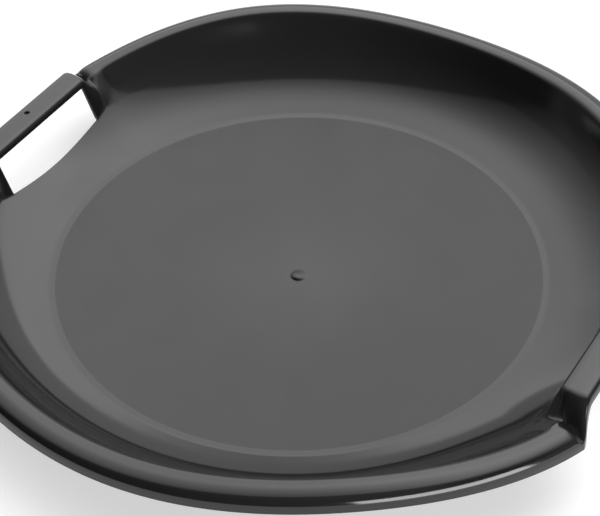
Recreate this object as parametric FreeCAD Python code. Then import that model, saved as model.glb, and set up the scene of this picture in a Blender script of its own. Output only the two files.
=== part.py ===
import FreeCAD, Part
import math
import os

# Saucer sled: a round moulded dish with a grained seat, a wavy rolled rim and two grip bars.
# Lengths are in millimetres. The sled stands on Z = 0 and the grips lie on the X axis.

V = FreeCAD.Vector

# Shell
wall = 3.0
overrun = 1.0

# Seat
seat_radius = 200.0
seat_flat_radius = 30.0
seat_rise = 10.0
nub_diameter = 15.0
nub_height = 2.6
nub_round = 2.1

# Wall of the dish: a narrow border, a shallow ledge and a round upturn
border_width = 5.0
border_slope = 5.0
ledge_width = 16.0
ledge_slope = 16.0
ledge_dip = 6.5
ledge_dip_angle = 18.0

# Rolled rim with its skirt
rim_long_reach = 105.0
rim_short_reach = 97.6
rim_height = 75.4
rim_dip = 26.3
rim_sag = 5.7
rim_peak_angle = 55.0
rim_end_run = 10.85
lip_crown_round = 20.0
lip_inner_round = 7.0
lip_outer_round = 10.0
lip_inner_slope = 10.0
lip_outer_slope = 27.0
skirt_drop = 2.3
skirt_end_gain = 2.4
skirt_flare = 0.5

# Finger openings
opening_setback = 58.0
opening_length = 119.0
post_top_width = 2.0
post_foot_width = 8.0

# Grip bars
bar_setback = 46.3
bar_width = 25.2
bar_height = 67.7
bar_round = 5.8
bar_leg = 6.9
bar_skirt = 8.1
bar_flare = 0.4
cord_hole_diameter = 4.3
cord_hole_setback = 10.4
shoulder_valley = 6.0

# Counts
rim_stations = 25
apron_stations = 9
edge_points = 5
foot_rounds = 6
shoulder_shares = (0.0, 0.25, 0.5, 0.75, 0.9, 1.0)

slope = math.radians(border_slope)
seat_reach = seat_radius - seat_flat_radius
seat_round = (seat_reach ** 2 + seat_rise ** 2) / (2 * seat_rise)
seat_turn = math.asin(seat_reach / seat_round)
seat_edge_z = wall + seat_rise
wall_start_radius = seat_radius + border_width
wall_start_z = seat_edge_z + border_width * math.tan(slope)
upturn_radius = wall_start_radius + ledge_width
rim_long_radius = seat_radius + rim_long_reach
rim_short_radius = seat_radius + rim_short_reach
rim_mean_radius = (rim_long_radius + rim_short_radius) / 2
rim_swing = (rim_long_radius - rim_short_radius) / 2
crown_first = math.radians(90 + lip_inner_slope)
crown_last = math.radians(90 - lip_outer_slope)
crown_step = lip_crown_round - lip_outer_round
opening_distance = rim_long_radius - opening_setback
opening_half = opening_length / 2
rim_end_y = opening_half + post_foot_width + rim_end_run
rim_end_angle = math.degrees(math.atan2(rim_end_y, opening_distance))
bar_distance = rim_long_radius - bar_setback
bar_outer = bar_distance + bar_width
bar_leg_z = bar_height - bar_leg
bar_skirt_z = bar_height - bar_skirt
bar_half = opening_half + post_top_width
cord_hole_distance = bar_outer - cord_hole_setback


def rim_side(angle):
    """Distance of the rim's outer face from the middle, longest towards the grips."""
    rim_radius = rim_mean_radius + rim_swing * math.cos(math.radians(2 * angle))
    return rim_radius - skirt_flare


def dip_share(angle):
    """Share of the rim's dip: all of it at a grip and none at the crest."""
    near = min(abs(angle) / rim_peak_angle, 1.0)
    return (1 + math.cos(math.pi * near)) / 2


def rim_top(angle):
    """Height of the rim's crown: it dips at the grips and sags halfway between."""
    away = min((90 - abs(angle)) / (90 - rim_peak_angle), 1.0)
    sag = rim_sag * (1 + math.cos(math.pi * away)) / 2
    return rim_height - rim_dip * dip_share(angle) - sag


def ledge_turn(angle):
    """Slope of the ledge: it is flatter under a grip."""
    near = min(abs(angle) / ledge_dip_angle, 1.0)
    return math.radians(ledge_slope - ledge_dip * (1 + math.cos(math.pi * near)) / 2)


def towards(turn):
    """Direction in the radial plane at an angle up from level."""
    return V(math.cos(turn), 0, math.sin(turn))


class Station:
    """Profile of the dish in the radial plane at an angle from the nearest grip."""

    def __init__(self, angle):
        crown_z = rim_top(angle) - lip_crown_round
        self.outer = V(rim_side(angle) - lip_outer_round, 0, crown_z + crown_step * math.sin(crown_last))
        self.crown = self.outer - towards(crown_last) * crown_step
        self.inner = self.crown + towards(crown_first) * (lip_crown_round - lip_inner_round)
        self.skirt = skirt_drop + skirt_end_gain * dip_share(angle)
        self.ledge = ledge_turn(angle)
        start = V(upturn_radius, 0, wall_start_z + ledge_width * math.tan(self.ledge))
        normal = V(-math.sin(self.ledge), 0, math.cos(self.ledge))
        reach = self.inner - start
        squared = reach.Length ** 2 - lip_inner_round ** 2
        self.round = squared / (2 * (reach.dot(normal) + lip_inner_round))
        self.centre = start + normal * self.round
        self.turn = math.atan2(self.inner.x - self.centre.x, self.centre.z - self.inner.z)

    def on_wall(self, turn, depth=0.0):
        """Point of the upturn where its slope is turn, depth below the inner face."""
        out = V(math.sin(turn), 0, -math.cos(turn))
        return self.centre + out * (self.round + depth)

    def turn_at(self, radius):
        return math.asin((radius - self.centre.x) / self.round)

    def on_lip(self, turn, depth=0.0):
        """Point of the rolled lip where its face looks up at an angle from level, depth inside it."""
        centre = self.outer
        radius = lip_outer_round
        if turn > crown_first:
            centre = self.inner
            radius = lip_inner_round
        elif turn > crown_last:
            centre = self.crown
            radius = lip_crown_round
        return centre + towards(turn) * (radius - depth)

    def lip_start(self):
        return math.pi / 2 + self.turn


def turned(point, angle):
    """A point of a radial profile carried round to an angle in degrees."""
    a = math.radians(angle)
    return V(point.x * math.cos(a), point.x * math.sin(a), point.z)


def line(p, q):
    return Part.LineSegment(p, q).toShape()


def arc(p, m, q):
    return Part.Arc(p, m, q).toShape()


def spline(points):
    curve = Part.BSplineCurve()
    curve.interpolate(points)
    return curve.toShape()


def loop(points):
    return Part.makePolygon(list(points) + [points[0]])


def wall_wire(angle, along, top_radius=None):
    """Closed section of the wall, up to the rim or to a chosen radius, placed at an angle."""
    s = Station(angle)
    top = s.turn if top_radius is None else s.turn_at(top_radius)
    mid = (s.ledge + top) / 2
    fold = V(wall_start_radius, 0, wall_start_z)
    fold_turn = (slope + s.ledge) / 2
    fold_depth = wall / math.cos((s.ledge - slope) / 2)
    inner = [V(seat_radius, 0, seat_edge_z), fold]
    inner += [s.on_wall(s.ledge), s.on_wall(mid), s.on_wall(top)]
    under = [s.on_wall(top, wall), s.on_wall(mid, wall), s.on_wall(s.ledge, wall)]
    under.append(fold + V(math.sin(fold_turn), 0, -math.cos(fold_turn)) * fold_depth)
    under.append(V(seat_radius, 0, seat_edge_z - wall / math.cos(slope)))
    a = [turned(p, along) for p in inner]
    b = [turned(p, along) for p in under]
    edges = [line(a[0], a[1]), line(a[1], a[2]), arc(a[2], a[3], a[4]), line(a[4], b[0])]
    edges += [arc(b[0], b[1], b[2]), line(b[2], b[3]), line(b[3], b[4]), line(b[4], a[0])]
    return Part.Wire(edges)


def rim_wire(angle, along):
    """Closed section of the rolled rim and its skirt, placed at an angle."""
    s = Station(angle)
    bounds = [s.lip_start(), crown_first, crown_last, 0.0]
    turns = [bounds[0]]
    for first, last in zip(bounds, bounds[1:]):
        turns += [(first + last) / 2, last]
    foot = s.on_lip(0.0) + V(skirt_flare, 0, -s.skirt)
    a = [turned(s.on_lip(t), along) for t in turns] + [turned(foot, along)]
    b = [turned(s.on_lip(t, wall), along) for t in turns] + [turned(foot - V(wall, 0, 0), along)]
    edges = [arc(*a[i:i + 3]) for i in (0, 2, 4)]
    edges += [line(a[6], a[7]), line(a[7], b[7]), line(b[7], b[6])]
    edges += [arc(b[i + 2], b[i + 1], b[i]) for i in (4, 2, 0)]
    edges.append(line(b[0], a[0]))
    return Part.Wire(edges)


def stations(first, last, count):
    return [first + (last - first) * i / (count - 1) for i in range(count)]


def from_grip(along):
    """Angle between a direction and the nearer grip."""
    return min(along % 180, 180 - along % 180)


def seat():
    flat = V(seat_flat_radius, 0, wall)
    edge = V(seat_radius, 0, seat_edge_z)
    low_edge = V(seat_radius, 0, seat_edge_z - wall / math.cos(slope))
    low_flat = V(seat_flat_radius, 0, 0)
    half = seat_turn / 2
    centre = V(seat_flat_radius, 0, wall + seat_round)
    out = V(math.sin(half), 0, -math.cos(half))
    edges = [line(V(0, 0, 0), V(0, 0, wall)), line(V(0, 0, wall), flat)]
    edges.append(arc(flat, centre + out * seat_round, edge))
    edges.append(line(edge, low_edge))
    edges.append(arc(low_edge, centre + out * (seat_round + wall), low_flat))
    edges.append(line(low_flat, V(0, 0, 0)))
    face = Part.Face(Part.Wire(edges))
    return face.revolve(V(0, 0, 0), V(0, 0, 1), 360)


def nub():
    """Low button with a rounded top edge, left at the middle of the seat."""
    button = Part.makeCylinder(nub_diameter / 2, nub_height, V(0, 0, wall))
    top = [edge for edge in button.Edges if edge.BoundBox.ZMin > wall + nub_height / 2]
    return button.makeFillet(nub_round, top)


def long_side(maker):
    """A zone of the dish between the ends of the rim on the +Y side."""
    spots = stations(rim_end_angle, 180 - rim_end_angle, rim_stations)
    return Part.makeLoft([maker(from_grip(a), a) for a in spots], True, False)


def apron():
    """Low wall under the finger opening of the +X grip, ending in a straight edge."""
    spots = stations(-rim_end_angle, rim_end_angle, apron_stations)
    top = opening_distance / math.cos(math.radians(rim_end_angle)) + wall + overrun
    shell = Part.makeLoft([wall_wire(abs(a), a, top) for a in spots], True, False)
    size = rim_long_radius + overrun
    corner = V(opening_distance, -size, -overrun)
    return shell.cut(Part.makeBox(size, 2 * size, size, corner))


def opening_edge(y, depth=0.0):
    """Height of the wall, or of its underside, at the opening's lower edge."""
    s = Station(math.degrees(math.atan2(y, opening_distance)))
    radius = math.hypot(opening_distance, y)
    return s.centre.z - math.sqrt((s.round + depth) ** 2 - (radius - s.centre.x) ** 2)


def grip_end(z):
    """Distance along Y of the leaning plane that ends a grip, at a height."""
    lean = (post_foot_width - post_top_width) / (bar_height - opening_edge(opening_half))
    return bar_half + (bar_height - z) * lean


def foot_end(depth=0.0):
    """Where the leaning end of a grip meets the opening's lower edge, or the wall's underside."""
    y = opening_half + post_foot_width
    for _ in range(foot_rounds):
        y = grip_end(opening_edge(y, depth))
    return V(opening_distance, y, opening_edge(y, depth))


def post_corners(low, high, end):
    """Corners of a post, from the opening's lower edge up to the leg of the bar."""
    points = [low, high, V(bar_distance, end(bar_leg_z), bar_leg_z)]
    points.append(V(bar_distance + wall, end(bar_leg_z), bar_leg_z))
    points.append(V(opening_distance + wall, end(low.z), low.z))
    return points


def post_end():
    """Corners of a post on the leaning end of a grip."""
    return post_corners(foot_end(wall), foot_end(), grip_end)


def post():
    low = V(opening_distance, opening_half, opening_edge(opening_half, wall))
    high = V(opening_distance, opening_half, opening_edge(opening_half))
    side = post_corners(low, high, lambda z: opening_half)
    return Part.makeLoft([loop(side), loop(post_end())], True, True)


def round_points(centre, radius, first, last):
    """Points of a rounding in the XZ plane, from one angle to another."""
    turns = stations(first, last, edge_points)
    return [centre + V(math.cos(t), 0, math.sin(t)) * radius for t in turns]


def run_points(p, q):
    return [p + (q - p) * share for share in stations(0.0, 1.0, edge_points)]


def bar_outline():
    """Outline of the grip's channel from its inner leg, over the top, to the inside of that leg."""
    inner = V(bar_distance + bar_round, 0, bar_height - bar_round)
    outer = V(bar_outer - bar_round, 0, bar_height - bar_round)
    thin = bar_round - wall
    level = math.pi / 2
    a = round_points(inner, bar_round, math.pi, level)
    b = round_points(outer, bar_round, level, 0.0)
    c = round_points(outer, thin, 0.0, level)
    d = round_points(inner, thin, level, math.pi)
    leg = V(bar_distance, 0, bar_leg_z)
    foot = V(bar_outer + bar_flare, 0, bar_skirt_z)
    inside = foot - V(wall, 0, 0)
    edges = [run_points(leg, a[0]), a, run_points(a[-1], b[0]), b, run_points(b[-1], foot)]
    edges += [run_points(foot, inside), run_points(inside, c[0]), c, run_points(c[-1], d[0]), d]
    edges.append(run_points(d[-1], leg + V(wall, 0, 0)))
    return edges


def beyond_grip():
    """Block past the leaning end of a grip on the +Y side."""
    x = bar_distance - overrun
    low = -overrun
    high = bar_height + overrun
    far = rim_long_radius
    corners = [V(x, grip_end(low), low), V(x, grip_end(high), high), V(x, far, high), V(x, far, low)]
    return Part.Face(loop(corners)).extrude(V(bar_width + bar_flare + 2 * overrun, 0, 0))


def bar():
    """Channel-shaped grip bar of the +X grip with its cord hole."""
    rounded = (1, 3, 7, 9)
    edges = []
    outline = bar_outline()
    for index, points in enumerate(outline):
        middle = points[len(points) // 2]
        ends = (points[0], points[-1])
        edges.append(arc(ends[0], middle, ends[1]) if index in rounded else line(*ends))
    edges.append(line(outline[-1][-1], outline[0][0]))
    solid = Part.Face(Part.Wire(edges)).extrude(V(0, 2 * rim_long_radius, 0))
    solid.translate(V(0, -rim_long_radius, 0))
    block = beyond_grip()
    solid = solid.cut(block).cut(mirrored(block))
    hole = V(cord_hole_distance, 0, bar_height - wall - overrun)
    return solid.cut(Part.makeCylinder(cord_hole_diameter / 2, wall + 2 * overrun, hole))


def grip_edges():
    """Full section at the end of a grip: post and bar as one outline."""
    corners = post_end()
    channel = [[V(p.x, grip_end(p.z), p.z) for p in points] for points in bar_outline()]
    edges = [run_points(corners[1], corners[2])] + channel
    edges += [run_points(corners[3], corners[4]), run_points(corners[4], corners[0])]
    edges.append(run_points(corners[0], corners[1]))
    return edges


def rim_end_edges():
    """Section of the dish at the end of the rim, cut into as many edges as the grip's."""
    s = Station(rim_end_angle)
    reach = opening_distance / math.cos(math.radians(rim_end_angle))
    first = s.turn_at(reach)
    step = (s.turn - first) / 2
    top = s.lip_start()
    foot = s.on_lip(0.0) + V(skirt_flare, 0, -s.skirt)
    low_turn = math.asin((reach - s.centre.x) / (s.round + wall))

    def swept(place, begin, end, depth):
        return [place(t, depth) for t in stations(begin, end, edge_points)]

    edges = [swept(s.on_wall, first, first + step, 0), swept(s.on_wall, first + step, s.turn, 0)]
    edges.append(swept(s.on_lip, top, crown_first, 0))
    edges.append(swept(s.on_lip, crown_first, crown_last, 0))
    edges.append(swept(s.on_lip, crown_last, 0.0, 0))
    edges.append(run_points(s.on_lip(0.0), foot))
    edges.append(run_points(foot, foot - V(wall, 0, 0)))
    edges.append(run_points(foot - V(wall, 0, 0), s.on_lip(0.0, wall)))
    edges.append(swept(s.on_lip, 0.0, crown_last, wall))
    edges.append(swept(s.on_lip, crown_last, crown_first, wall))
    edges.append(swept(s.on_lip, crown_first, top, wall))
    edges.append(swept(s.on_wall, s.turn, first + step, wall))
    last = low_turn + (first + step - low_turn) / 4
    edges.append(swept(s.on_wall, first + step, last, wall))
    edges.append(swept(s.on_wall, last, low_turn, wall))
    edges.append(run_points(s.on_wall(low_turn, wall), s.on_wall(first)))
    return [[turned(p, rim_end_angle) for p in points] for points in edges]


def shoulder():
    """Fold that leads from the +X grip's +Y end to the end of the rim."""
    near = grip_edges()
    far = rim_end_edges()
    foot_z = foot_end().z
    wires = []
    for share in shoulder_shares:
        smooth = share * share * (3 - 2 * share)
        early = 1 - (1 - share) ** 3
        sink = shoulder_valley * math.sin(math.pi * share ** 3)
        edges = []
        for a, b in zip(near, far):
            points = []
            for p, q in zip(a, b):
                out_share = min(max((p.x - bar_distance) / bar_width, 0), 1)
                low_share = min(max((bar_height - p.z) / bar_skirt, 0), 1) * out_share
                blend = smooth + (early - smooth) * low_share
                raised_share = (max(p.z - foot_z, 0) / (bar_height - foot_z)) ** 2
                x = p.x + (q.x - p.x) * smooth
                y = p.y + (q.y - p.y) * share
                z = p.z + (q.z - p.z) * blend - sink * raised_share
                points.append(V(x, y, z))
            edges.append(spline(points))
        wires.append(Part.Wire(edges))
    return Part.makeLoft(wires, True, False)


def mirrored(shape):
    return shape.mirror(V(0, 0, 0), V(0, 1, 0))


def half_turned(shape):
    copy = shape.copy()
    copy.rotate(V(0, 0, 0), V(0, 0, 1), 180)
    return copy


wall_rear = long_side(wall_wire)
rim_rear = long_side(rim_wire)
apron_right = apron()
bar_right = bar()
post_rear = post()
shoulder_rear = shoulder()

nodes = {
    "seat_disc": seat(),
    "gate_nub": nub(),
    "wall_rear": wall_rear,
    "wall_front": half_turned(wall_rear),
    "rim_rear": rim_rear,
    "rim_front": half_turned(rim_rear),
    "apron_right": apron_right,
    "apron_left": half_turned(apron_right),
    "handle_bar_right": bar_right,
    "handle_bar_left": half_turned(bar_right),
    "handle_post_right_rear": post_rear,
    "handle_post_right_front": mirrored(post_rear),
    "handle_post_left_front": half_turned(post_rear),
    "handle_post_left_rear": half_turned(mirrored(post_rear)),
    "handle_shoulder_right_rear": shoulder_rear,
    "handle_shoulder_right_front": mirrored(shoulder_rear),
    "handle_shoulder_left_front": half_turned(shoulder_rear),
    "handle_shoulder_left_rear": half_turned(mirrored(shoulder_rear)),
}

os.makedirs("parts", exist_ok=True)
for name, shape in nodes.items():
    solid = shape if shape.ShapeType == "Solid" else shape.Solids[0]
    print(name, solid.isValid(), round(solid.Volume), solid.BoundBox)
    solid.exportStep("parts/" + name + ".step")
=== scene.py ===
import functools
import math

import bpy
import numpy as np
from mathutils import Matrix, Vector


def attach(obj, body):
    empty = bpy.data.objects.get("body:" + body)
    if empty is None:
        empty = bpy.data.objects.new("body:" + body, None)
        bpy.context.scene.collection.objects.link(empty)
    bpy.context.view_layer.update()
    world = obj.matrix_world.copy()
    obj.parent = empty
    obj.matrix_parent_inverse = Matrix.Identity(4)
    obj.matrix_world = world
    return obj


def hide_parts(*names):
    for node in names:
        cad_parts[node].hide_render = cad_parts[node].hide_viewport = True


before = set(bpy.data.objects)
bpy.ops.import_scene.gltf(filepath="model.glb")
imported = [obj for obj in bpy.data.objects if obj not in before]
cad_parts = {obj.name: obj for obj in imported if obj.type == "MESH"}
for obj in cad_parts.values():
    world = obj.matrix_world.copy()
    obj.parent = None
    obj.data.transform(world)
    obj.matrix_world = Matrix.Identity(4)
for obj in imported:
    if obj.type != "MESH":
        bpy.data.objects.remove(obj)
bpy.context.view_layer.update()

bl_info = {
    "name": "Saucer sled",
    "version": (1, 0, 0),
    "blender": (4, 5, 0),
    "location": "3D View > Sidebar > Sled",
    "description": "Builds a moulded saucer sled with its grips, finishes and studio",
    "category": "Add Mesh",
}

SIDES = ("right", "left")
ENDS = ("rear", "front")
ROOT = "root"


# Kinds of values that a user may change
def length(label, description, default):
    return bpy.props.FloatProperty(
        name=label, description=description, default=default, min=0.0, precision=4, unit="LENGTH")


def angle(label, description, degrees):
    return bpy.props.FloatProperty(
        name=label, description=description, default=math.radians(degrees),
        subtype="ANGLE", unit="ROTATION")


def level(label, description, default):
    return bpy.props.FloatProperty(name=label, description=description, default=default, min=0.0)


def colour(label, description, default):
    return bpy.props.StringProperty(name=label, description=description, default=default)


# Softbox brightness by climb: 0 is the horizon behind the sled, 0.5 overhead and 1 the horizon in front
SOFTBOX_CLIMB = ((0.0, 0.6), (0.117, 0.67), (0.183, 0.74), (0.25, 0.86), (0.31, 0.99), (0.35, 0.98),
                 (0.383, 0.91), (0.417, 0.77), (0.45, 0.66), (0.483, 0.5), (0.517, 0.36), (0.538, 0.29),
                 (0.548, 0.09), (0.6, 0.073), (0.75, 0.055), (1.0, 0.045))
# Backdrop under the softbox, by the same climb
BACKDROP_CLIMB = ((0.0, 0.2), (0.06, 0.235), (0.12, 0.31), (0.3, 0.34))
# Brightness of both from left (0) to right (1)
STUDIO_ACROSS = ((0.0, 0.05), (0.05, 0.1), (0.146, 0.28), (0.25, 0.5), (0.379, 0.77), (0.5, 0.87),
                 (0.621, 1.0), (0.75, 1.0), (0.79, 0.82), (0.83, 0.4), (0.9, 0.2), (1.0, 0.15))
# Direction into the softbox, square to its lower edge: parts to the right, away from the camera and up
SOFTBOX_EDGE = (-0.431, -0.29, 0.854)
# Half the width of that soft edge
SOFTBOX_BLUR = 0.02
# Width of the camera's sensor in millimetres
SENSOR_WIDTH = 36.0


class SledSizes(bpy.types.PropertyGroup):
    """Lengths and angles of the moulding."""

    wall: length("Wall", "Thickness of the plastic", 0.003)
    edge_bulge: length("Edge rounding", "How far free edges are rounded outward", 0.0006)
    seat_radius: length("Seat radius", "Radius of the grained floor", 0.200)
    seat_flat_radius: length("Flat radius", "Radius of the flat middle of the floor", 0.030)
    seat_rise: length("Seat rise", "How much the floor turns up towards its edge", 0.010)
    nub_radius: length("Gate nub radius", "Radius of the bump in the middle", 0.0075)
    nub_height: length("Gate nub height", "Height of the bump in the middle", 0.0021)
    nub_lean: length("Gate nub lean", "How far the bump's top leans to the front", 0.0036)
    border_width: length("Border width", "Straight start of the wall", 0.005)
    border_slope: angle("Border slope", "Slope of the start of the wall", 5.0)
    ledge_width: length("Ledge width", "Shallow lower part of the wall", 0.016)
    ledge_slope: angle("Ledge slope", "Slope of the shallow lower part of the wall", 16.0)
    ledge_dip: angle("Ledge dip", "How much flatter the ledge is under a grip", 6.5)
    ledge_dip_end: angle("Ledge dip end", "Angle from a grip where the ledge has its full slope", 18.0)
    rim_long_radius: length("Rim radius at the grips", "Outer radius of the rim towards the grips", 0.305)
    rim_short_radius: length("Rim radius between", "Outer radius of the rim between the grips", 0.2976)
    rim_height: length("Rim height", "Top of the rim at its two crests a side", 0.0754)
    rim_dip: length("Rim dip", "How far the rim would drop at a grip", 0.0263)
    rim_sag: length("Rim sag", "How far the rim drops halfway between the grips", 0.0057)
    rim_peak: angle("Rim crest", "Angle of the rim's crest from a grip", 55.0)
    rim_end: angle("Rim end", "Angle where the rim ends beside a grip", 16.7)
    lip_top: length("Lip crown radius", "Radius of the broad top of the lip", 0.020)
    lip_inner: length("Lip inner radius", "Radius of the lip's inner edge", 0.007)
    lip_outer: length("Lip outer radius", "Radius of the lip's outer edge", 0.010)
    lip_inner_slope: angle("Lip inner slope", "Slope of the crown where the inner edge starts", 10.0)
    lip_outer_slope: angle("Lip outer slope", "Slope of the crown where the outer edge starts", 27.0)
    skirt_drop: length("Skirt drop", "Skirt below the lip's rounding", 0.0023)
    skirt_gain: length("Skirt gain", "How much deeper the skirt would be at a grip", 0.0024)
    skirt_flare: length("Skirt flare", "How far the skirt leans out", 0.0005)
    opening_distance: length("Opening distance", "Lower edge of a finger opening from the middle", 0.247)
    opening_half: length("Opening half length", "Half the length of a finger opening", 0.0595)
    post_top: length("Post top width", "Width of a post under the bar", 0.002)
    post_foot: length("Post foot width", "Width of a post at its foot", 0.008)
    bar_distance: length("Bar distance", "Inner face of a grip bar from the middle", 0.2587)
    bar_width: length("Bar width", "Width of a grip bar", 0.0252)
    bar_height: length("Bar height", "Top of a grip bar above the ground", 0.0677)
    bar_round: length("Bar rounding", "Rounding of a bar's top edges", 0.0056)
    bar_leg: length("Bar leg", "Depth of a bar's inner side", 0.0069)
    bar_skirt: length("Bar skirt", "Depth of a bar's outer side", 0.0081)
    bar_flare: length("Bar flare", "How far a bar's outer side leans out", 0.0004)
    hole_radius: length("Cord hole radius", "Radius of the hole in a bar", 0.00215)
    hole_setback: length("Cord hole setback", "Hole's middle from the bar's outer face", 0.0104)
    hole_depth: length("Cord hole depth", "Depth of the hole with the short collar under it", 0.0048)
    rim_ramp: length("Rim end ramp", "Length of the wall's end that climbs towards the shoulder", 0.019)
    ramp_rise: length("Rim end rise", "How far the wall's end climbs", 0.0055)
    dome_depth: length("Lip end depth", "How far the lip rounds down at its end", 0.008)
    dome_length: length("Lip end length", "Length of the lip's rounded end", 0.007)
    dome_round: length("Lip end rounding", "How far the sides of the lip's end stand back", 0.0025)
    dome_reach: length("Lip end reach", "Half the width of the lip's rounded end", 0.013)


class SledFinish(bpy.types.PropertyGroup):
    """Colours and gloss of the moulding."""

    shell_colour: colour("Shell colour", "Black of the smooth plastic", "#151516")
    shell_flow: colour("Shell flow colour", "Paler black along the smooth plastic's flow marks", "#19191a")
    seat_colour: colour("Seat colour", "Black of the grained plastic", "#161617")
    seat_flow: colour("Seat flow colour", "Paler black along the grained plastic's flow marks", "#1a1a1b")
    shell_roughness: level("Shell roughness", "Roughness of the smooth plastic", 0.11)
    seat_roughness: level("Seat roughness", "Roughness of the grained plastic", 0.34)


class SledStage(bpy.types.PropertyGroup):
    """Camera, light and floor."""

    azimuth: angle("View azimuth", "Camera's turn round the sled", 32.31)
    elevation: angle("View elevation", "Camera's height over the horizon", 42.40)
    roll: angle("View roll", "Camera's lean", -1.58)
    distance: length("View distance", "Camera's distance from what it looks at", 1.3944)
    lens: level("Lens", "Focal length in millimetres on a 36 mm sensor", 101.2)
    aim_right: length("Aim right", "Aim point to the right of the sled's middle", 0.00138)
    aim_back: length("Aim back", "Aim point behind the sled's middle", 0.01008)
    aim_height: length("Aim height", "Height of the aim point", 0.013)
    floor_half: length("Floor half width", "Half the width of the floor", 8.0)
    floor_colour: colour("Floor colour", "Pale light table under the sled", "#d2d2d2")
    floor_glow: level("Floor glow", "Light that the table itself gives off", 0.46)
    studio_level: level("Studio level", "Strength of the softbox where it is brightest", 3.57)
    strip_power: level("Strip power", "Power of the low strip lamp in watts", 60.0)
    strip_width: length("Strip width", "Width of the strip lamp", 2.3)
    strip_height: length("Strip height", "Height of the strip lamp's face", 0.9)
    strip_right: length("Strip right", "Lamp's middle to the right of the sled's", 1.45)
    strip_front: length("Strip front", "Lamp's middle in front of the sled's", 1.95)
    strip_lift: length("Strip lift", "Height of the lamp's middle above the floor", 0.5)


def linear(text):
    """Linear colour with alpha from an sRGB hex value."""
    channels = [int(text[i:i + 2], 16) / 255 for i in (1, 3, 5)]
    values = [c / 12.92 if c <= 0.04045 else ((c + 0.055) / 1.055) ** 2.4 for c in channels]
    return (*values, 1.0)


def blended(first, last, share):
    """Value part of the way from the first to the last."""
    return first + (last - first) * share


class Station:
    """Profile of the dish in the radial plane at an angle from the nearest grip."""

    def __init__(self, s, turn_from_grip):
        self.s = s
        near = min(turn_from_grip / s.rim_peak, 1.0)
        away = min((math.pi / 2 - turn_from_grip) / (math.pi / 2 - s.rim_peak), 1.0)
        flat = min(turn_from_grip / s.ledge_dip_end, 1.0)
        near = (1 + math.cos(math.pi * near)) / 2
        sag = s.rim_sag * (1 + math.cos(math.pi * away)) / 2
        self.skirt = s.skirt_drop + s.skirt_gain * near
        self.ledge = s.ledge_slope - s.ledge_dip * (1 + math.cos(math.pi * flat)) / 2
        mean = (s.rim_long_radius + s.rim_short_radius) / 2
        swing = (s.rim_long_radius - s.rim_short_radius) / 2
        self.side = mean + swing * math.cos(2 * turn_from_grip) - s.skirt_flare
        self.place_lip(s.rim_height - s.rim_dip * near - sag)
        self.fold = (s.seat_radius + s.border_width,
                     s.wall + s.seat_rise + s.border_width * math.tan(s.border_slope))
        self.upturn = (self.fold[0] + s.ledge_width, self.fold[1] + s.ledge_width * math.tan(self.ledge))
        normal = (-math.sin(self.ledge), math.cos(self.ledge))
        reach = (self.inner[0] - self.upturn[0], self.inner[1] - self.upturn[1])
        squared = reach[0] ** 2 + reach[1] ** 2 - s.lip_inner ** 2
        self.round = squared / (2 * (reach[0] * normal[0] + reach[1] * normal[1] + s.lip_inner))
        self.centre = (self.upturn[0] + normal[0] * self.round, self.upturn[1] + normal[1] * self.round)
        self.turn = math.atan2(self.inner[0] - self.centre[0], self.centre[1] - self.inner[1])

    def place_lip(self, top):
        """Centres of the lip's outer edge, broad crown and inner edge."""
        s = self.s
        self.crown_last = math.pi / 2 - s.lip_outer_slope
        self.crown_first = math.pi / 2 + s.lip_inner_slope
        step = s.lip_top - s.lip_outer
        self.outer = (self.side - s.lip_outer, top - s.lip_top + step * math.sin(self.crown_last))
        self.crown = along(self.outer, self.crown_last, -step)
        self.inner = along(self.crown, self.crown_first, s.lip_top - s.lip_inner)

    def on_wall(self, turn):
        """Point on the wall's round upturn."""
        return (self.centre[0] + math.sin(turn) * self.round, self.centre[1] - math.cos(turn) * self.round)

    def turn_at(self, radius):
        """Angle on the upturn at a distance from the middle."""
        return math.asin((radius - self.centre[0]) / self.round)

    def lower_wall(self, edge_radius):
        """Border, ledge and the start of the upturn, to a chosen radius."""
        start = (self.s.seat_radius, self.s.wall + self.s.seat_rise)
        rows = [mixed(start, self.fold, share) for share in BORDER_SHARES]
        rows += [mixed(self.fold, self.upturn, share) for share in LEDGE_SHARES]
        top = self.turn_at(edge_radius)
        return rows + [self.on_wall(blended(self.ledge, top, share)) for share in UPTURN_SHARES]

    def upper_wall(self, edge_radius):
        """Upturn from a chosen radius, the rolled lip and its skirt."""
        s = self.s
        first = self.turn_at(edge_radius)
        middle = (first + self.turn) / 2
        rows = [self.on_wall(blended(first, middle, share)) for share in POST_SHARES]
        rows += [self.on_wall(blended(middle, self.turn, share)) for share in LEG_SHARES]
        start = math.pi / 2 + self.turn
        rows += [along(self.inner, blended(start, self.crown_first, share), s.lip_inner)
                 for share in INNER_SHARES]
        rows += [along(self.crown, blended(self.crown_first, self.crown_last, share), s.lip_top)
                 for share in TOP_SHARES]
        rows += [along(self.outer, blended(self.crown_last, 0.0, share), s.lip_outer)
                 for share in OUTER_SHARES]
        foot_z = self.outer[1] - self.skirt + s.edge_bulge
        foot = (self.side + s.skirt_flare, foot_z)
        return rows + [mixed((self.side, self.outer[1]), foot, share) for share in SKIRT_SHARES]


def mixed(first, last, share):
    """Point part of the way between two points of a profile."""
    return (blended(first[0], last[0], share), blended(first[1], last[1], share))


def along(centre, turn, radius):
    """Point at a radius from a centre, at an angle up from level."""
    return (centre[0] + math.cos(turn) * radius, centre[1] + math.sin(turn) * radius)


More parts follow.
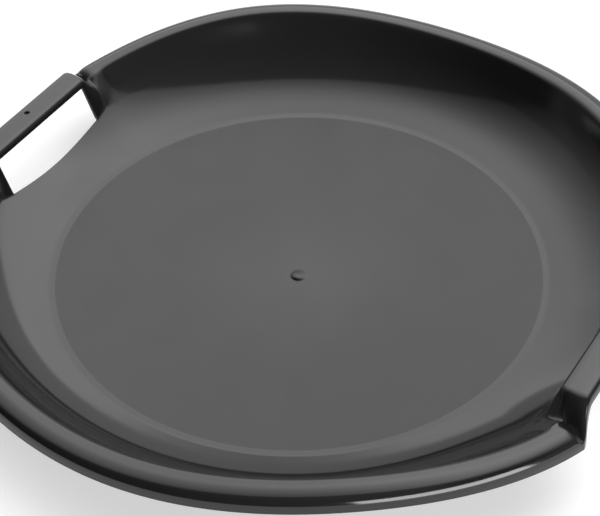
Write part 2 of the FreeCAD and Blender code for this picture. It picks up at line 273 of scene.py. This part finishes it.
# Shares along each stretch of a section, from the middle of the seat to the free edge
FLAT_SHARES = (0.2, 0.6, 1.0)
SEAT_SHARES = (0.12, 0.25, 0.38, 0.5, 0.62, 0.74, 0.85, 0.93, 0.98, 1.0)
BORDER_SHARES = (0.25, 0.75, 1.0)
LEDGE_SHARES = (0.08, 0.5, 1.0)
UPTURN_SHARES = (0.2, 0.4, 0.6, 0.8, 0.95, 1.0)
POST_SHARES = (0.06, 0.33, 0.66, 1.0)
LEG_SHARES = (1.0,)
INNER_SHARES = (0.25, 0.5, 0.75, 1.0)
TOP_SHARES = (0.3, 0.55, 1.0)
OUTER_SHARES = (0.14, 0.43, 0.72, 1.0)
SKIRT_SHARES = (0.35, 0.75, 1.0)
# Groups of rows in a column, with the number of rows in each
GROUPS = (
    ("seat", len(FLAT_SHARES) + len(SEAT_SHARES)),
    ("wall", len(BORDER_SHARES) + len(LEDGE_SHARES) + len(UPTURN_SHARES)),
    ("post", len(POST_SHARES)),
    ("leg", len(LEG_SHARES)),
    ("lip", len(INNER_SHARES) + len(TOP_SHARES) + len(OUTER_SHARES) + len(SKIRT_SHARES)),
)
# Kinds of columns, in their order from the middle of an opening
KINDS = ("opening", "post", "shoulder", "rim")
# Where columns stand: along the opening, across a post, along a shoulder and at the start of the rim
OPENING_SHARES = (0.14, 0.28, 0.45, 0.62, 0.78, 0.9, 0.965, 1.0)
POST_WIDTH_SHARES = (0.3, 0.65, 1.0)
SHOULDER_SHARES = (0.08, 0.18, 0.3, 0.42, 0.55, 0.68, 0.8, 0.9, 0.96)
RIM_SHARES = (0.0, 0.0006, 0.002, 0.0045, 0.008, 0.0125, 0.018, 0.026, 0.036, 0.05, 0.067, 0.09, 0.12,
              0.155)
# Even steps from there to halfway round the rim
RIM_STEPS = 22
# Part of the climb at the rim's end that each row takes, from the foot of the post up to the lip
CLIMB_SHARES = (0.03, 0.22, 0.6, 0.95, 1.0, 0.7, 0.4, 0.15)
# Part of a shoulder over which its fall from the bar sets in, and over which its outer foot drops
FALL_START = 0.35
DROP_END = 0.6
# Part of the lip's half width over which its rounded end fades in on the inner side
DOME_FADE = 0.75
# Rounds of easing at the folds, and the columns and rows over which it sets in and dies out
EASE_ROUNDS = 8
EASE_IN = 3
EASE_OUT = 5
EASE_ROWS = 3
# Reach of the column beside a cord hole and of the collar under it, in radii of the hole
HOLE_COLUMN = 1.9
COLLAR_REACH = 1.5
SUBDIVISIONS = 1
# Steps round a free edge, from the skin to the underside
EDGE_STEPS = 4
# Least length that a direction is divided by
TINY = 1e-9


def seat_z(s, radius):
    """Height of the floor: flat in the middle, then turning up."""
    reach = s.seat_radius - s.seat_flat_radius
    bend = (reach ** 2 + s.seat_rise ** 2) / (2 * s.seat_rise)
    out = max(radius - s.seat_flat_radius, 0.0)
    return s.wall + bend - math.sqrt(bend ** 2 - out ** 2)


def carried(rows, direction):
    """Points of a radial profile carried round to a direction."""
    return [(r * math.cos(direction), r * math.sin(direction), z) for r, z in rows]


def lower_rows(s, direction, edge_radius):
    """Floor and wall in one direction, up to the opening's level."""
    radii = [s.seat_flat_radius * share for share in FLAT_SHARES]
    radii += [blended(s.seat_flat_radius, s.seat_radius, share) for share in SEAT_SHARES]
    rows = [(r, seat_z(s, r)) for r in radii]
    return carried(rows + Station(s, direction).lower_wall(edge_radius), direction)


def hole_x(s):
    """Distance of a cord hole from the middle of the sled."""
    return s.bar_distance + s.bar_width - s.hole_setback


def bar_rows(s):
    """Distances and heights of a grip bar's skin, from its inner leg over the top to its skirt."""
    outer = s.bar_distance + s.bar_width
    level_z = s.bar_height - s.bar_round
    foot = s.bar_height - s.bar_leg + s.edge_bulge
    rows = [(s.bar_distance, blended(foot, level_z, share)) for share in LEG_SHARES]

    def rounding(x, first, last, shares):
        turns = [blended(first, last, share) for share in shares]
        return [(x + math.cos(t) * s.bar_round, level_z + math.sin(t) * s.bar_round) for t in turns]

    rows += rounding(s.bar_distance + s.bar_round, math.pi, math.pi / 2, INNER_SHARES)
    flat = s.bar_distance + s.bar_round
    rows += [(blended(flat, hole_x(s), share), s.bar_height) for share in TOP_SHARES]
    rows += rounding(outer - s.bar_round, math.pi / 2, 0.0, OUTER_SHARES)
    drop = s.bar_skirt - s.bar_round - s.edge_bulge
    rows += [(outer + s.bar_flare * share, level_z - drop * share) for share in SKIRT_SHARES]
    return foot, rows


def opening_z(s, x, y):
    """Height of the wall at a place on the opening's lower edge."""
    station = Station(s, math.atan2(y, x))
    return station.on_wall(station.turn_at(math.hypot(x, y)))[1]


def smoothstep(share):
    """Share with a soft start and a soft end."""
    return share * share * (3 - 2 * share)


def rounded_start(share):
    """Even fall from 0 to 1 with its start rounded off."""
    if share < FALL_START:
        fall = share ** 2 / (2 * FALL_START)
    else:
        fall = share - FALL_START / 2
    return fall / (1 - FALL_START / 2)


def grip_columns(s):
    """Columns over the right finger opening and across its rear post, and where the post's foot ends."""
    foot, bar = bar_rows(s)
    foot_z = opening_z(s, s.opening_distance, s.opening_half)
    lean = (s.post_foot - s.post_top) / (s.bar_height - foot_z)

    def grip_end(z):
        return s.opening_half + s.post_top + (s.bar_height - z) * lean

    def grip(x, low_y, y_at):
        rows = lower_rows(s, math.atan2(low_y, x), math.hypot(x, low_y))
        base = Vector(rows[-1])
        top = Vector((s.bar_distance, y_at(foot), foot))
        rows += [tuple(base.lerp(top, share)) for share in POST_SHARES]
        return rows + [(bar_x, y_at(z), z) for bar_x, z in bar]

    side = s.opening_half + s.edge_bulge
    edge = s.opening_distance - s.edge_bulge
    beside_hole = s.hole_radius * HOLE_COLUMN
    spots = [0.0, beside_hole] + [blended(beside_hole, side, share) for share in OPENING_SHARES]
    columns = [("opening", grip(edge, y, lambda z, y=y: y)) for y in spots]
    end_y = grip_end(opening_z(s, s.opening_distance, s.opening_half + s.post_foot))
    for share in POST_WIDTH_SHARES:
        x = blended(edge, s.opening_distance, share)
        low_y = blended(side, end_y, share)
        columns.append(("post", grip(x, low_y, lambda z, share=share: blended(side, grip_end(z), share))))
    return columns, end_y


def shoulder_column(s, near, far, low_y, share, split):
    """Column part of the way along the fold from the grip's end to the rim's end."""
    rows = lower_rows(s, math.atan2(low_y, s.opening_distance), math.hypot(s.opening_distance, low_y))
    fall = rounded_start(share)
    drop = smoothstep(min(share / DROP_END, 1.0))
    for p, q in zip(near[split:], far[split:]):
        out = min(max((p[0] - s.bar_distance) / s.bar_width, 0.0), 1.0)
        low = min(max((s.bar_height - p[2]) / s.bar_skirt, 0.0), 1.0) * out
        rows.append((blended(p[0], q[0], smoothstep(share)), blended(p[1], q[1], share),
                     blended(p[2], q[2], blended(fall, drop, low))))
    return rows


def rim_edge(s):
    """Distance from the middle at which the wall passes the opening's level."""
    return s.opening_distance / math.cos(s.rim_end)


def rim_column(s, direction, split):
    """Column of the wall and rim; at the rim's end the wall climbs and the lip rounds down."""
    station = Station(s, direction)
    upper = carried(station.upper_wall(rim_edge(s)), direction)
    rows = np.array(lower_rows(s, direction, rim_edge(s)) + upper)
    run = (direction - s.rim_end) * rim_edge(s)
    left = 1 - min(run / s.rim_ramp, 1.0)
    rows[split:split + len(CLIMB_SHARES), 2] += s.ramp_rise * np.array(CLIMB_SHARES) * left ** 2
    return domed(s, station, rows, run)


def domed(s, station, rows, run):
    """Column of the rim with its lip rounded down where the rim ends."""
    base = station.crown[1] + s.lip_top - s.dome_depth
    across = np.clip((np.linalg.norm(rows[:, :2], axis=1) - station.crown[0]) / s.dome_reach, -1, 1)
    past = np.clip((run - s.dome_round * (1 - np.sqrt(1 - across ** 2))) / s.dome_length, 0, 1)
    kept = np.sqrt(1 - (1 - past) ** 2)
    lifted = np.maximum(rows[:, 2] - base, 0.0)
    rows[:, 2] -= lifted * (1 - kept) * np.clip((across + 1) / DOME_FADE, 0, 1)
    return rows


def quarter_columns(s):
    """Columns of skin points from the middle of the right opening to halfway round the rim."""
    # First row above the opening's level
    split = sum(count for _, count in GROUPS[:2])
    columns, end_y = grip_columns(s)
    near = columns[-1][1]
    far = rim_column(s, s.rim_end, split)
    rim_y = rim_edge(s) * math.sin(s.rim_end)
    for share in SHOULDER_SHARES:
        low_y = blended(end_y, rim_y, share)
        columns.append(("shoulder", shoulder_column(s, near, far, low_y, share, split)))
    spots = list(RIM_SHARES)
    spots += [blended(RIM_SHARES[-1], 1.0, (i + 1) / RIM_STEPS) for i in range(RIM_STEPS)]
    for share in spots:
        direction = blended(s.rim_end, math.pi / 2, share)
        columns.append(("rim", [tuple(p) for p in rim_column(s, direction, split)]))
    return eased(columns, split)


def eased(columns, split):
    """Columns with the folds beside the rim's end rounded off below the lip."""
    kinds = [kind for kind, _ in columns]
    places = np.array([rows for _, rows in columns])
    column, row = np.arange(places.shape[0]), np.arange(places.shape[1])
    first, last = kinds.index("shoulder"), kinds.index("rim")
    first_row = split - len(UPTURN_SHARES)
    last_row = split + len(POST_SHARES) + len(LEG_SHARES) + len(INNER_SHARES) - 1
    near_fold = np.clip((column - first + 1) / EASE_IN, 0, 1)
    near_fold *= np.clip((2 * last - first - column) / EASE_OUT, 0, 1)
    below_lip = np.clip((row - first_row) / EASE_ROWS, 0, 1) * np.clip((last_row - row) / EASE_ROWS, 0, 1)
    weight = (near_fold[:, None] * below_lip)[:, :, None]
    for _ in range(EASE_ROUNDS):
        middle = (places[:-2] + 2 * places[1:-1] + places[2:]) / 4
        places[1:-1] = blended(places[1:-1], middle, weight[1:-1])
    return [(kind, [tuple(p) for p in rows]) for kind, rows in zip(kinds, places)]


def zone_name(group, kind, x, y):
    """Piece that a patch of the skin belongs to, or None for the finger openings."""
    side = SIDES[0] if x > 0 else SIDES[1]
    end = ENDS[0] if y > 0 else ENDS[1]
    if group == "seat":
        return "seat_disc"
    if kind == "rim":
        return ("rim_" if group == "lip" else "wall_") + end
    if group == "wall":
        return "apron_" + side
    if kind == "shoulder":
        return "handle_shoulder_%s_%s" % (side, end)
    if group == "post":
        return None if kind == "opening" else "handle_post_%s_%s" % (side, end)
    return "handle_bar_" + side


def control_skin(s):
    """Coarse skin of the whole moulding: points, patches and the zone of each patch."""
    quarter = quarter_columns(s)
    flipped = [(kind, [(-x, y, z) for x, y, z in rows]) for kind, rows in reversed(quarter)]
    half = quarter + flipped[1:]
    turned = [(kind, [(-x, -y, z) for x, y, z in rows]) for kind, rows in half]
    ring = half[:-1] + turned[:-1]
    groups = [name for name, number in GROUPS for _ in range(number)]
    points = [p for _, rows in ring for p in rows]
    count, depth = len(ring), len(groups)
    patches, zones = [], []
    for j in range(count):
        k = (j + 1) % count
        kind = max(ring[j][0], ring[k][0], key=KINDS.index)
        for i in range(depth - 1):
            patch = [j * depth + i, j * depth + i + 1, k * depth + i + 1, k * depth + i]
            middle = np.mean([points[v] for v in patch], axis=0)
            zone = zone_name(groups[i + 1], kind, middle[0], middle[1])
            if zone is not None:
                patches.append(patch)
                zones.append(zone)
    for sign in (1, -1):
        pierce(s, sign, points, patches, zones)
    return points, patches, zones


def pierce(s, sign, points, patches, zones):
    """Opens the cord hole of one bar: the patches round its middle make way for a ring of patches."""
    centre = Vector((sign * hole_x(s), 0.0, s.bar_height))
    nearest = min(range(len(points)), key=lambda v: (Vector(points[v]) - centre).length)
    cut = [n for n, patch in enumerate(patches) if nearest in patch]

    def turn(v):
        return math.atan2(points[v][1], points[v][0] - centre.x)

    border = sorted({v for n in cut for v in patches[n]} - {nearest}, key=turn)
    zone = zones[cut[0]]
    for n in reversed(cut):
        del patches[n], zones[n]
    # Subdivision draws the ring in, so it starts wider than the hole
    reach = (s.hole_radius + s.edge_bulge) * 3 / (2 + math.cos(2 * math.pi / len(border)))
    first = len(points)
    points += [(centre.x + reach * math.cos(turn(v)), reach * math.sin(turn(v)), s.bar_height)
               for v in border]
    for n in range(len(border)):
        m = (n + 1) % len(border)
        patches.append([first + n, border[n], border[m], first + m])
        zones.append(zone)


def smooth_skin(s):
    """Fine skin: points, normals, patches and zones after subdivision."""
    points, patches, zones = control_skin(s)
    names = sorted(set(zones))
    mesh = bpy.data.meshes.new("skin")
    mesh.from_pydata(points, [], patches)
    mesh.polygons.foreach_set("material_index", [names.index(z) for z in zones])
    skin = bpy.data.objects.new("skin", mesh)
    bpy.context.scene.collection.objects.link(skin)
    modifier = skin.modifiers.new("Subdivision", "SUBSURF")
    modifier.levels = modifier.render_levels = SUBDIVISIONS
    fine = bpy.data.meshes.new_from_object(skin.evaluated_get(bpy.context.evaluated_depsgraph_get()))
    found = np.array([v.co for v in fine.vertices])
    normals = np.array([n.vector for n in fine.vertex_normals])
    faces = [tuple(p.vertices) for p in fine.polygons]
    owners = [names[p.material_index] for p in fine.polygons]
    bpy.data.objects.remove(skin)
    bpy.data.meshes.remove(mesh)
    bpy.data.meshes.remove(fine)
    return found, normals, faces, owners


@functools.lru_cache(maxsize=1)
def moulding():
    """Fine skin with its middle closed, and the rounded course of every edge from skin to underside."""
    s = bpy.context.scene.sled_sizes
    points, normals, faces, owners = smooth_skin(s)
    around = {(a, b) for face in faces for a, b in zip(face, face[1:] + face[:1])}
    free = [(a, b) for a, b in around if (b, a) not in around]
    middle = {v for edge in free for v in edge if math.hypot(*points[v][:2]) < s.seat_flat_radius / 2}
    faces.append(tuple(sorted(middle, key=lambda v: math.atan2(points[v][1], points[v][0]))))
    owners.append("seat_disc")
    outward = np.zeros_like(points)
    for a, b in free:
        if a not in middle:
            way = unit(np.cross(points[b] - points[a], normals[a] + normals[b]))
            outward[a] += way
            outward[b] += way
    outward = unit(outward)
    holes = [np.array((hole_x(s) * sign, 0.0, s.bar_height)) for sign in (1, -1)]
    from_hole = np.min([np.linalg.norm(points - hole, axis=1) for hole in holes], axis=0)
    near_hole = from_hole < s.hole_radius * COLLAR_REACH
    half = np.where(near_hole, s.hole_depth, s.wall)[:, None] / 2
    course = []
    for step in range(EDGE_STEPS + 1):
        turn = math.pi * step / EDGE_STEPS
        place = points - normals * half * (1 - math.cos(turn)) + outward * s.edge_bulge * math.sin(turn)
        facing = unit(normals * math.cos(turn) * s.edge_bulge / half + outward * math.sin(turn))
        course.append((place, facing))
    return faces, owners, outward.any(axis=1), course


def unit(vectors):
    """Vectors drawn to a length of one."""
    return vectors / np.maximum(np.linalg.norm(vectors, axis=-1, keepdims=True), TINY)


class Solid:
    """Closed piece cut from the moulding: skin, underside, rounded free edges and flat cuts."""

    def __init__(self, zone):
        faces, owners, self.free, self.course = moulding()
        self.vertices, self.faces, self.corner_normals, self.index = [], [], [], {}
        own = [face for face, owner in zip(faces, owners) if owner == zone]
        edges = {(a, b) for face in own for a, b in zip(face, face[1:] + face[:1])}
        for face in own:
            self.face([(v, 0) for v in face])
            self.face([(v, EDGE_STEPS) for v in reversed(face)])
        for a, b in sorted(edges):
            if (b, a) not in edges:
                self.side(a, b)

    def face(self, corners, flat=None):
        """Adds a face through points of the edges' courses; a flat cut has one normal for all corners."""
        row = []
        for v, step in corners:
            place, facing = self.course[step]
            if (v, step) not in self.index:
                self.index[(v, step)] = len(self.vertices)
                self.vertices.append(place[v])
            row.append(self.index[(v, step)])
            self.corner_normals.append(facing[v] if flat is None else flat)
        self.faces.append(row)

    def side(self, a, b):
        """Side of the piece between two neighbouring points of its outline."""
        steps = list(range(EDGE_STEPS + 1))
        if self.free[a] and self.free[b]:
            for k in steps[:-1]:
                self.face([(b, k), (a, k), (a, k + 1), (b, k + 1)])
            return
        top, up = self.course[0]
        flat = unit(np.cross(top[b] - top[a], up[a] + up[b]))
        down = steps if self.free[a] else [0, EDGE_STEPS]
        back = steps[::-1] if self.free[b] else [EDGE_STEPS, 0]
        self.face([(a, k) for k in down] + [(b, k) for k in back], flat)


def new_piece(name, vertices, faces, corner_normals):
    """Smooth mesh object with a normal of its own at every corner."""
    mesh = bpy.data.meshes.new(name)
    mesh.from_pydata([tuple(v) for v in vertices], [], faces)
    mesh.polygons.foreach_set("use_smooth", [True] * len(faces))
    mesh.normals_split_custom_set([tuple(n) for n in corner_normals])
    mesh.update()
    piece = bpy.data.objects.new(name, mesh)
    bpy.context.scene.collection.objects.link(piece)
    return piece


def finish_piece(piece, node, material):
    """Gives a piece its finish and puts it in the place of its CAD node."""
    piece.data.materials.append(material)
    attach(piece, ROOT)
    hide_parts(node)


def mould(nodes, material):
    """Makes the pieces that stand for these CAD nodes."""
    for node in nodes:
        solid = Solid(node)
        piece = new_piece("moulded_" + node, solid.vertices, solid.faces, solid.corner_normals)
        finish_piece(piece, node, material)


def add_node(tree, kind, settings, inputs):
    """Adds a node, sets its settings and fills or links its inputs."""
    made = tree.nodes.new(kind)
    for key, value in settings.items():
        setattr(made, key, value)
    for key, value in inputs.items():
        if isinstance(value, bpy.types.NodeSocket):
            tree.links.new(value, made.inputs[key])
        else:
            made.inputs[key].default_value = value
    return made


def metres(millimetres):
    return millimetres / 1000.0


# Distance from the gate at which the shinier blush round it has faded, in metres
BLUSH_REACH = 0.11
POLYETHYLENE_IOR = 1.51


def moulded_plastic(name, colours, roughness, spread, grain_mm, grain_depth_mm, flow_mm, shine,
                    gate_shine=None):
    """Black polyethylene from a steel mould: grain or orange peel, flow marks and uneven gloss.
    Where a gate shine is given, the shine goes from that level at the gate to its own further out."""
    if name in bpy.data.materials:
        return bpy.data.materials[name]
    material = bpy.data.materials.new(name)
    material.use_nodes = True
    tree = material.node_tree
    tree.nodes.clear()
    place = add_node(tree, "ShaderNodeTexCoord", {}, {}).outputs["Object"]
    grain = add_node(tree, "ShaderNodeTexNoise", {},
                     {"Vector": place, "Scale": 1 / metres(grain_mm), "Detail": 3.0, "Roughness": 0.55})
    flow = add_node(tree, "ShaderNodeTexNoise", {},
                    {"Vector": place, "Scale": 1 / metres(flow_mm), "Detail": 4.0, "Roughness": 0.5,
                     "Distortion": 0.6})
    tint = add_node(tree, "ShaderNodeMix", {"data_type": "RGBA"},
                    {"Factor": flow.outputs["Fac"], "A": linear(colours[0]), "B": linear(colours[1])})
    gloss = add_node(tree, "ShaderNodeMapRange", {},
                     {"Value": flow.outputs["Fac"], "From Min": 0.3, "From Max": 0.7,
                      "To Min": roughness - spread, "To Max": roughness + spread})
    bump = add_node(tree, "ShaderNodeBump", {},
                    {"Height": grain.outputs["Fac"], "Strength": 1.0, "Distance": metres(grain_depth_mm)})
    if gate_shine is not None:
        reach = add_node(tree, "ShaderNodeVectorMath", {"operation": "LENGTH"}, {0: place})
        blush = add_node(tree, "ShaderNodeMapRange", {"interpolation_type": "SMOOTHSTEP"},
                         {"Value": reach.outputs["Value"], "From Min": 0.0, "From Max": BLUSH_REACH,
                          "To Min": gate_shine, "To Max": shine})
        shine = blush.outputs["Result"]
    shader = add_node(tree, "ShaderNodeBsdfPrincipled", {},
                      {"Base Color": tint.outputs["Result"], "Roughness": gloss.outputs["Result"],
                       "IOR": POLYETHYLENE_IOR, "Specular IOR Level": shine,
                       "Normal": bump.outputs["Normal"]})
    add_node(tree, "ShaderNodeOutputMaterial", {}, {"Surface": shader.outputs["BSDF"]})
    return material


def smooth_black(context):
    """Smooth black polyethylene, moulded against satin-polished steel: soft even reflections."""
    finish = context.scene.sled_finish
    return moulded_plastic(
        "smooth_moulded_polyethylene", (finish.shell_colour, finish.shell_flow), finish.shell_roughness,
        spread=0.015, grain_mm=3.0, grain_depth_mm=0.002, flow_mm=60.0, shine=0.5)


def grained_black(context):
    """Black polyethylene moulded against spark-eroded steel: a fine matt grain.
    The real grain is about 0.4 mm; it is drawn at 1.6 mm so that it shows.
    Its pits swallow a part of the shine, and fewer of them near the gate."""
    finish = context.scene.sled_finish
    return moulded_plastic(
        "grained_moulded_polyethylene", (finish.seat_colour, finish.seat_flow), finish.seat_roughness,
        spread=0.03, grain_mm=1.6, grain_depth_mm=0.02, flow_mm=45.0, shine=0.405, gate_shine=0.47)


class SLED_OT_seat(bpy.types.Operator):
    """Make the grained floor of the dish"""

    bl_idname = "sled.seat"
    bl_label = "Seat disc"

    def execute(self, context):
        mould(["seat_disc"], grained_black(context))
        return {"FINISHED"}


class SLED_OT_walls(bpy.types.Operator):
    """Make the smooth wall on both long sides and the aprons under the finger openings"""

    bl_idname = "sled.walls"
    bl_label = "Walls and aprons"

    def execute(self, context):
        nodes = ["wall_" + end for end in ENDS] + ["apron_" + side for side in SIDES]
        mould(nodes, smooth_black(context))
        return {"FINISHED"}


class SLED_OT_rims(bpy.types.Operator):
    """Make the rolled rim with its skirt on both long sides"""

    bl_idname = "sled.rims"
    bl_label = "Rims"

    def execute(self, context):
        mould(["rim_" + end for end in ENDS], smooth_black(context))
        return {"FINISHED"}


class SLED_OT_bars(bpy.types.Operator):
    """Make the channel-shaped grip bars with their cord holes"""

    bl_idname = "sled.bars"
    bl_label = "Grip bars"

    def execute(self, context):
        mould(["handle_bar_" + side for side in SIDES], smooth_black(context))
        return {"FINISHED"}


class SLED_OT_posts(bpy.types.Operator):
    """Make the narrow posts at the ends of the finger openings"""

    bl_idname = "sled.posts"
    bl_label = "Grip posts"

    def execute(self, context):
        nodes = ["handle_post_%s_%s" % (side, end) for side in SIDES for end in ENDS]
        mould(nodes, smooth_black(context))
        return {"FINISHED"}


class SLED_OT_shoulders(bpy.types.Operator):
    """Make the folds that lead from the rim's ends up to the grip bars"""

    bl_idname = "sled.shoulders"
    bl_label = "Grip shoulders"

    def execute(self, context):
        nodes = ["handle_shoulder_%s_%s" % (side, end) for side in SIDES for end in ENDS]
        mould(nodes, smooth_black(context))
        return {"FINISHED"}


class SLED_OT_nub(bpy.types.Operator):
    """Make the low round bump that the moulding gate left in the middle of the seat"""

    bl_idname = "sled.nub"
    bl_label = "Gate nub"

    def execute(self, context):
        s = context.scene.sled_sizes
        around, rings, power = 48, 14, 1.5
        # Lopsided dome: steep towards the front long side, running out into the floor on the other side
        vertices, facing, faces = [], [], []
        for ring in range(rings):
            share = 1 - ring / rings
            height = (1 - share ** 2) ** power
            fall = 2 * power * share * (1 - share ** 2) ** (power - 1)
            r = s.nub_radius * share
            for i in range(around):
                turn = 2 * math.pi * i / around
                vertices.append((r * math.cos(turn), r * math.sin(turn) - s.nub_lean * height,
                                 s.wall + s.nub_height * height))
                facing.append((s.nub_height * fall * math.cos(turn), s.nub_height * fall * math.sin(turn),
                               s.nub_radius + s.nub_lean * fall * math.sin(turn)))
        for low in range(0, (rings - 1) * around, around):
            for i in range(around):
                j = (i + 1) % around
                faces.append([low + i, low + j, low + around + j, low + around + i])
        last = (rings - 1) * around
        faces.append([last + i for i in range(around)])
        normals = [Vector(facing[v]).normalized() for face in faces for v in face]
        faces.append(list(reversed(range(around))))
        piece = new_piece("moulded_gate_nub", vertices, faces, normals + [(0.0, 0.0, -1.0)] * around)
        finish_piece(piece, "gate_nub", grained_black(context))
        return {"FINISHED"}


def view_axes(settings):
    """Level directions to the camera's right and away from it."""
    a = settings.azimuth
    return Vector((math.cos(a), math.sin(a), 0.0)), Vector((-math.sin(a), math.cos(a), 0.0))


class SLED_OT_stage(bpy.types.Operator):
    """Make the pale floor, the studio's lights and the camera"""

    bl_idname = "sled.stage"
    bl_label = "Stage"

    def execute(self, context):
        settings = context.scene.sled_stage
        self.make_floor(context, settings)
        self.make_dome(context, settings)
        self.make_strip(context, settings)
        self.make_camera(context, settings)
        context.scene.view_settings.view_transform = "Standard"
        return {"FINISHED"}

    def make_floor(self, context, settings):
        """Pale matt light table that gives off a part of its own light."""
        half = settings.floor_half
        mesh = bpy.data.meshes.new("floor")
        mesh.from_pydata([(-half, -half, 0), (half, -half, 0), (half, half, 0), (-half, half, 0)], [],
                         [[0, 1, 2, 3]])
        floor = bpy.data.objects.new("floor", mesh)
        context.scene.collection.objects.link(floor)
        material = bpy.data.materials.new("pale_matt_light_table")
        material.use_nodes = True
        shader = material.node_tree.nodes["Principled BSDF"]
        shader.inputs["Base Color"].default_value = linear(settings.floor_colour)
        shader.inputs["Roughness"].default_value = 1.0
        shader.inputs["Specular IOR Level"].default_value = 0.0
        shader.inputs["Emission Color"].default_value = (1.0, 1.0, 1.0, 1.0)
        shader.inputs["Emission Strength"].default_value = settings.floor_glow
        mesh.materials.append(material)

    def make_dome(self, context, settings):
        """Large softbox from behind the sled to overhead, over a dimmer backdrop and dark in front."""
        world = bpy.data.worlds.new("studio_dome")
        context.scene.world = world
        world.use_nodes = True
        tree = world.node_tree
        tree.nodes.clear()
        way = add_node(tree, "ShaderNodeTexCoord", {}, {}).outputs["Generated"]
        right, away = view_axes(settings)
        above = Vector((0.0, 0.0, 1.0))
        edge = right * SOFTBOX_EDGE[0] + away * SOFTBOX_EDGE[1] + above * SOFTBOX_EDGE[2]
        parts = []
        for direction in (right, away, above, edge):
            part = add_node(tree, "ShaderNodeVectorMath", {"operation": "DOT_PRODUCT"},
                            {0: way, 1: direction})
            parts.append(part.outputs["Value"])
        to_right, to_back, upward, to_softbox = parts
        turn = add_node(tree, "ShaderNodeMath", {"operation": "ARCTAN2"}, {0: upward, 1: to_back})
        climb = add_node(tree, "ShaderNodeMath", {"operation": "DIVIDE"}, {0: turn.outputs[0], 1: math.pi})
        across = add_node(tree, "ShaderNodeMath", {"operation": "MULTIPLY_ADD"},
                          {0: to_right, 1: 0.5, 2: 0.5})
        tones = []
        for place, stops in ((climb, BACKDROP_CLIMB), (climb, SOFTBOX_CLIMB), (across, STUDIO_ACROSS)):
            ramp = add_node(tree, "ShaderNodeValToRGB", {}, {"Fac": place.outputs[0]})
            self.set_stops(ramp.color_ramp.elements, stops)
            tones.append(ramp.outputs["Color"])
        backdrop, softbox, sideways = tones
        inside = add_node(tree, "ShaderNodeMapRange", {"interpolation_type": "SMOOTHSTEP"},
                          {"Value": to_softbox, "From Min": -SOFTBOX_BLUR, "From Max": SOFTBOX_BLUR})
        upper = add_node(tree, "ShaderNodeMix", {"data_type": "RGBA"},
                         {"Factor": inside.outputs["Result"], "A": backdrop, "B": softbox})
        both = add_node(tree, "ShaderNodeMix", {"data_type": "RGBA", "blend_type": "MULTIPLY"},
                        {"Factor": 1.0, "A": upper.outputs["Result"], "B": sideways})
        light = add_node(tree, "ShaderNodeBackground", {},
                         {"Color": both.outputs["Result"], "Strength": settings.studio_level})
        add_node(tree, "ShaderNodeOutputWorld", {}, {"Surface": light.outputs[0]})

    def set_stops(self, elements, stops):
        """Fills a ramp with grey stops."""
        while len(elements) < len(stops):
            elements.new(0.5)
        for element, (position, value) in zip(elements, stops):
            element.position = position
            element.color = (value, value, value, 1.0)

    def make_strip(self, context, settings):
        """Low strip lamp at the front right, seen as a streak along the skirt."""
        data = bpy.data.lights.new("strip_lamp", "AREA")
        data.shape = "RECTANGLE"
        data.size = settings.strip_width
        data.size_y = settings.strip_height
        data.energy = settings.strip_power
        right, away = view_axes(settings)
        place = right * settings.strip_right - away * settings.strip_front
        place.z = settings.strip_lift
        lamp = bpy.data.objects.new("strip_lamp", data)
        lamp.location = place
        lamp.rotation_euler = (-place).to_track_quat("-Z", "Y").to_euler()
        context.scene.collection.objects.link(lamp)

    def make_camera(self, context, settings):
        """Camera at the photograph's angle, leaning a little to one side."""
        right, away = view_axes(settings)
        e, roll = settings.elevation, settings.roll
        ahead = away * math.cos(e) - Vector((0.0, 0.0, math.sin(e)))
        above = right.cross(ahead)
        aim = right * settings.aim_right + away * settings.aim_back
        aim.z = settings.aim_height
        side = right * math.cos(roll) + above * math.sin(roll)
        top = above * math.cos(roll) - right * math.sin(roll)
        place = aim - ahead * settings.distance
        data = bpy.data.cameras.new("camera")
        data.lens = settings.lens
        data.sensor_width = SENSOR_WIDTH
        data.sensor_fit = "HORIZONTAL"
        camera = bpy.data.objects.new("camera", data)
        camera.matrix_world = Matrix((
            (side.x, top.x, -ahead.x, place.x),
            (side.y, top.y, -ahead.y, place.y),
            (side.z, top.z, -ahead.z, place.z),
            (0.0, 0.0, 0.0, 1.0)))
        context.scene.collection.objects.link(camera)
        context.scene.camera = camera


OPERATORS = (SLED_OT_seat, SLED_OT_nub, SLED_OT_walls, SLED_OT_rims, SLED_OT_bars, SLED_OT_posts,
             SLED_OT_shoulders, SLED_OT_stage)


class SLED_PT_panel(bpy.types.Panel):
    """Lists the steps that build the sled"""

    bl_label = "Saucer sled"
    bl_idname = "SLED_PT_panel"
    bl_space_type = "VIEW_3D"
    bl_region_type = "UI"
    bl_category = "Sled"

    def draw(self, context):
        for operator in OPERATORS:
            self.layout.operator(operator.bl_idname)


CLASSES = (SledSizes, SledFinish, SledStage, *OPERATORS, SLED_PT_panel)


def register():
    for cls in CLASSES:
        bpy.utils.register_class(cls)
    bpy.types.Scene.sled_sizes = bpy.props.PointerProperty(type=SledSizes)
    bpy.types.Scene.sled_finish = bpy.props.PointerProperty(type=SledFinish)
    bpy.types.Scene.sled_stage = bpy.props.PointerProperty(type=SledStage)


def unregister():
    del bpy.types.Scene.sled_stage
    del bpy.types.Scene.sled_finish
    del bpy.types.Scene.sled_sizes
    for cls in reversed(CLASSES):
        bpy.utils.unregister_class(cls)


def main():
    register()
    bpy.ops.sled.seat()
    bpy.ops.sled.nub()
    bpy.ops.sled.walls()
    bpy.ops.sled.rims()
    bpy.ops.sled.bars()
    bpy.ops.sled.posts()
    bpy.ops.sled.shoulders()
    bpy.ops.sled.stage()


if __name__ == "__main__":
    main()
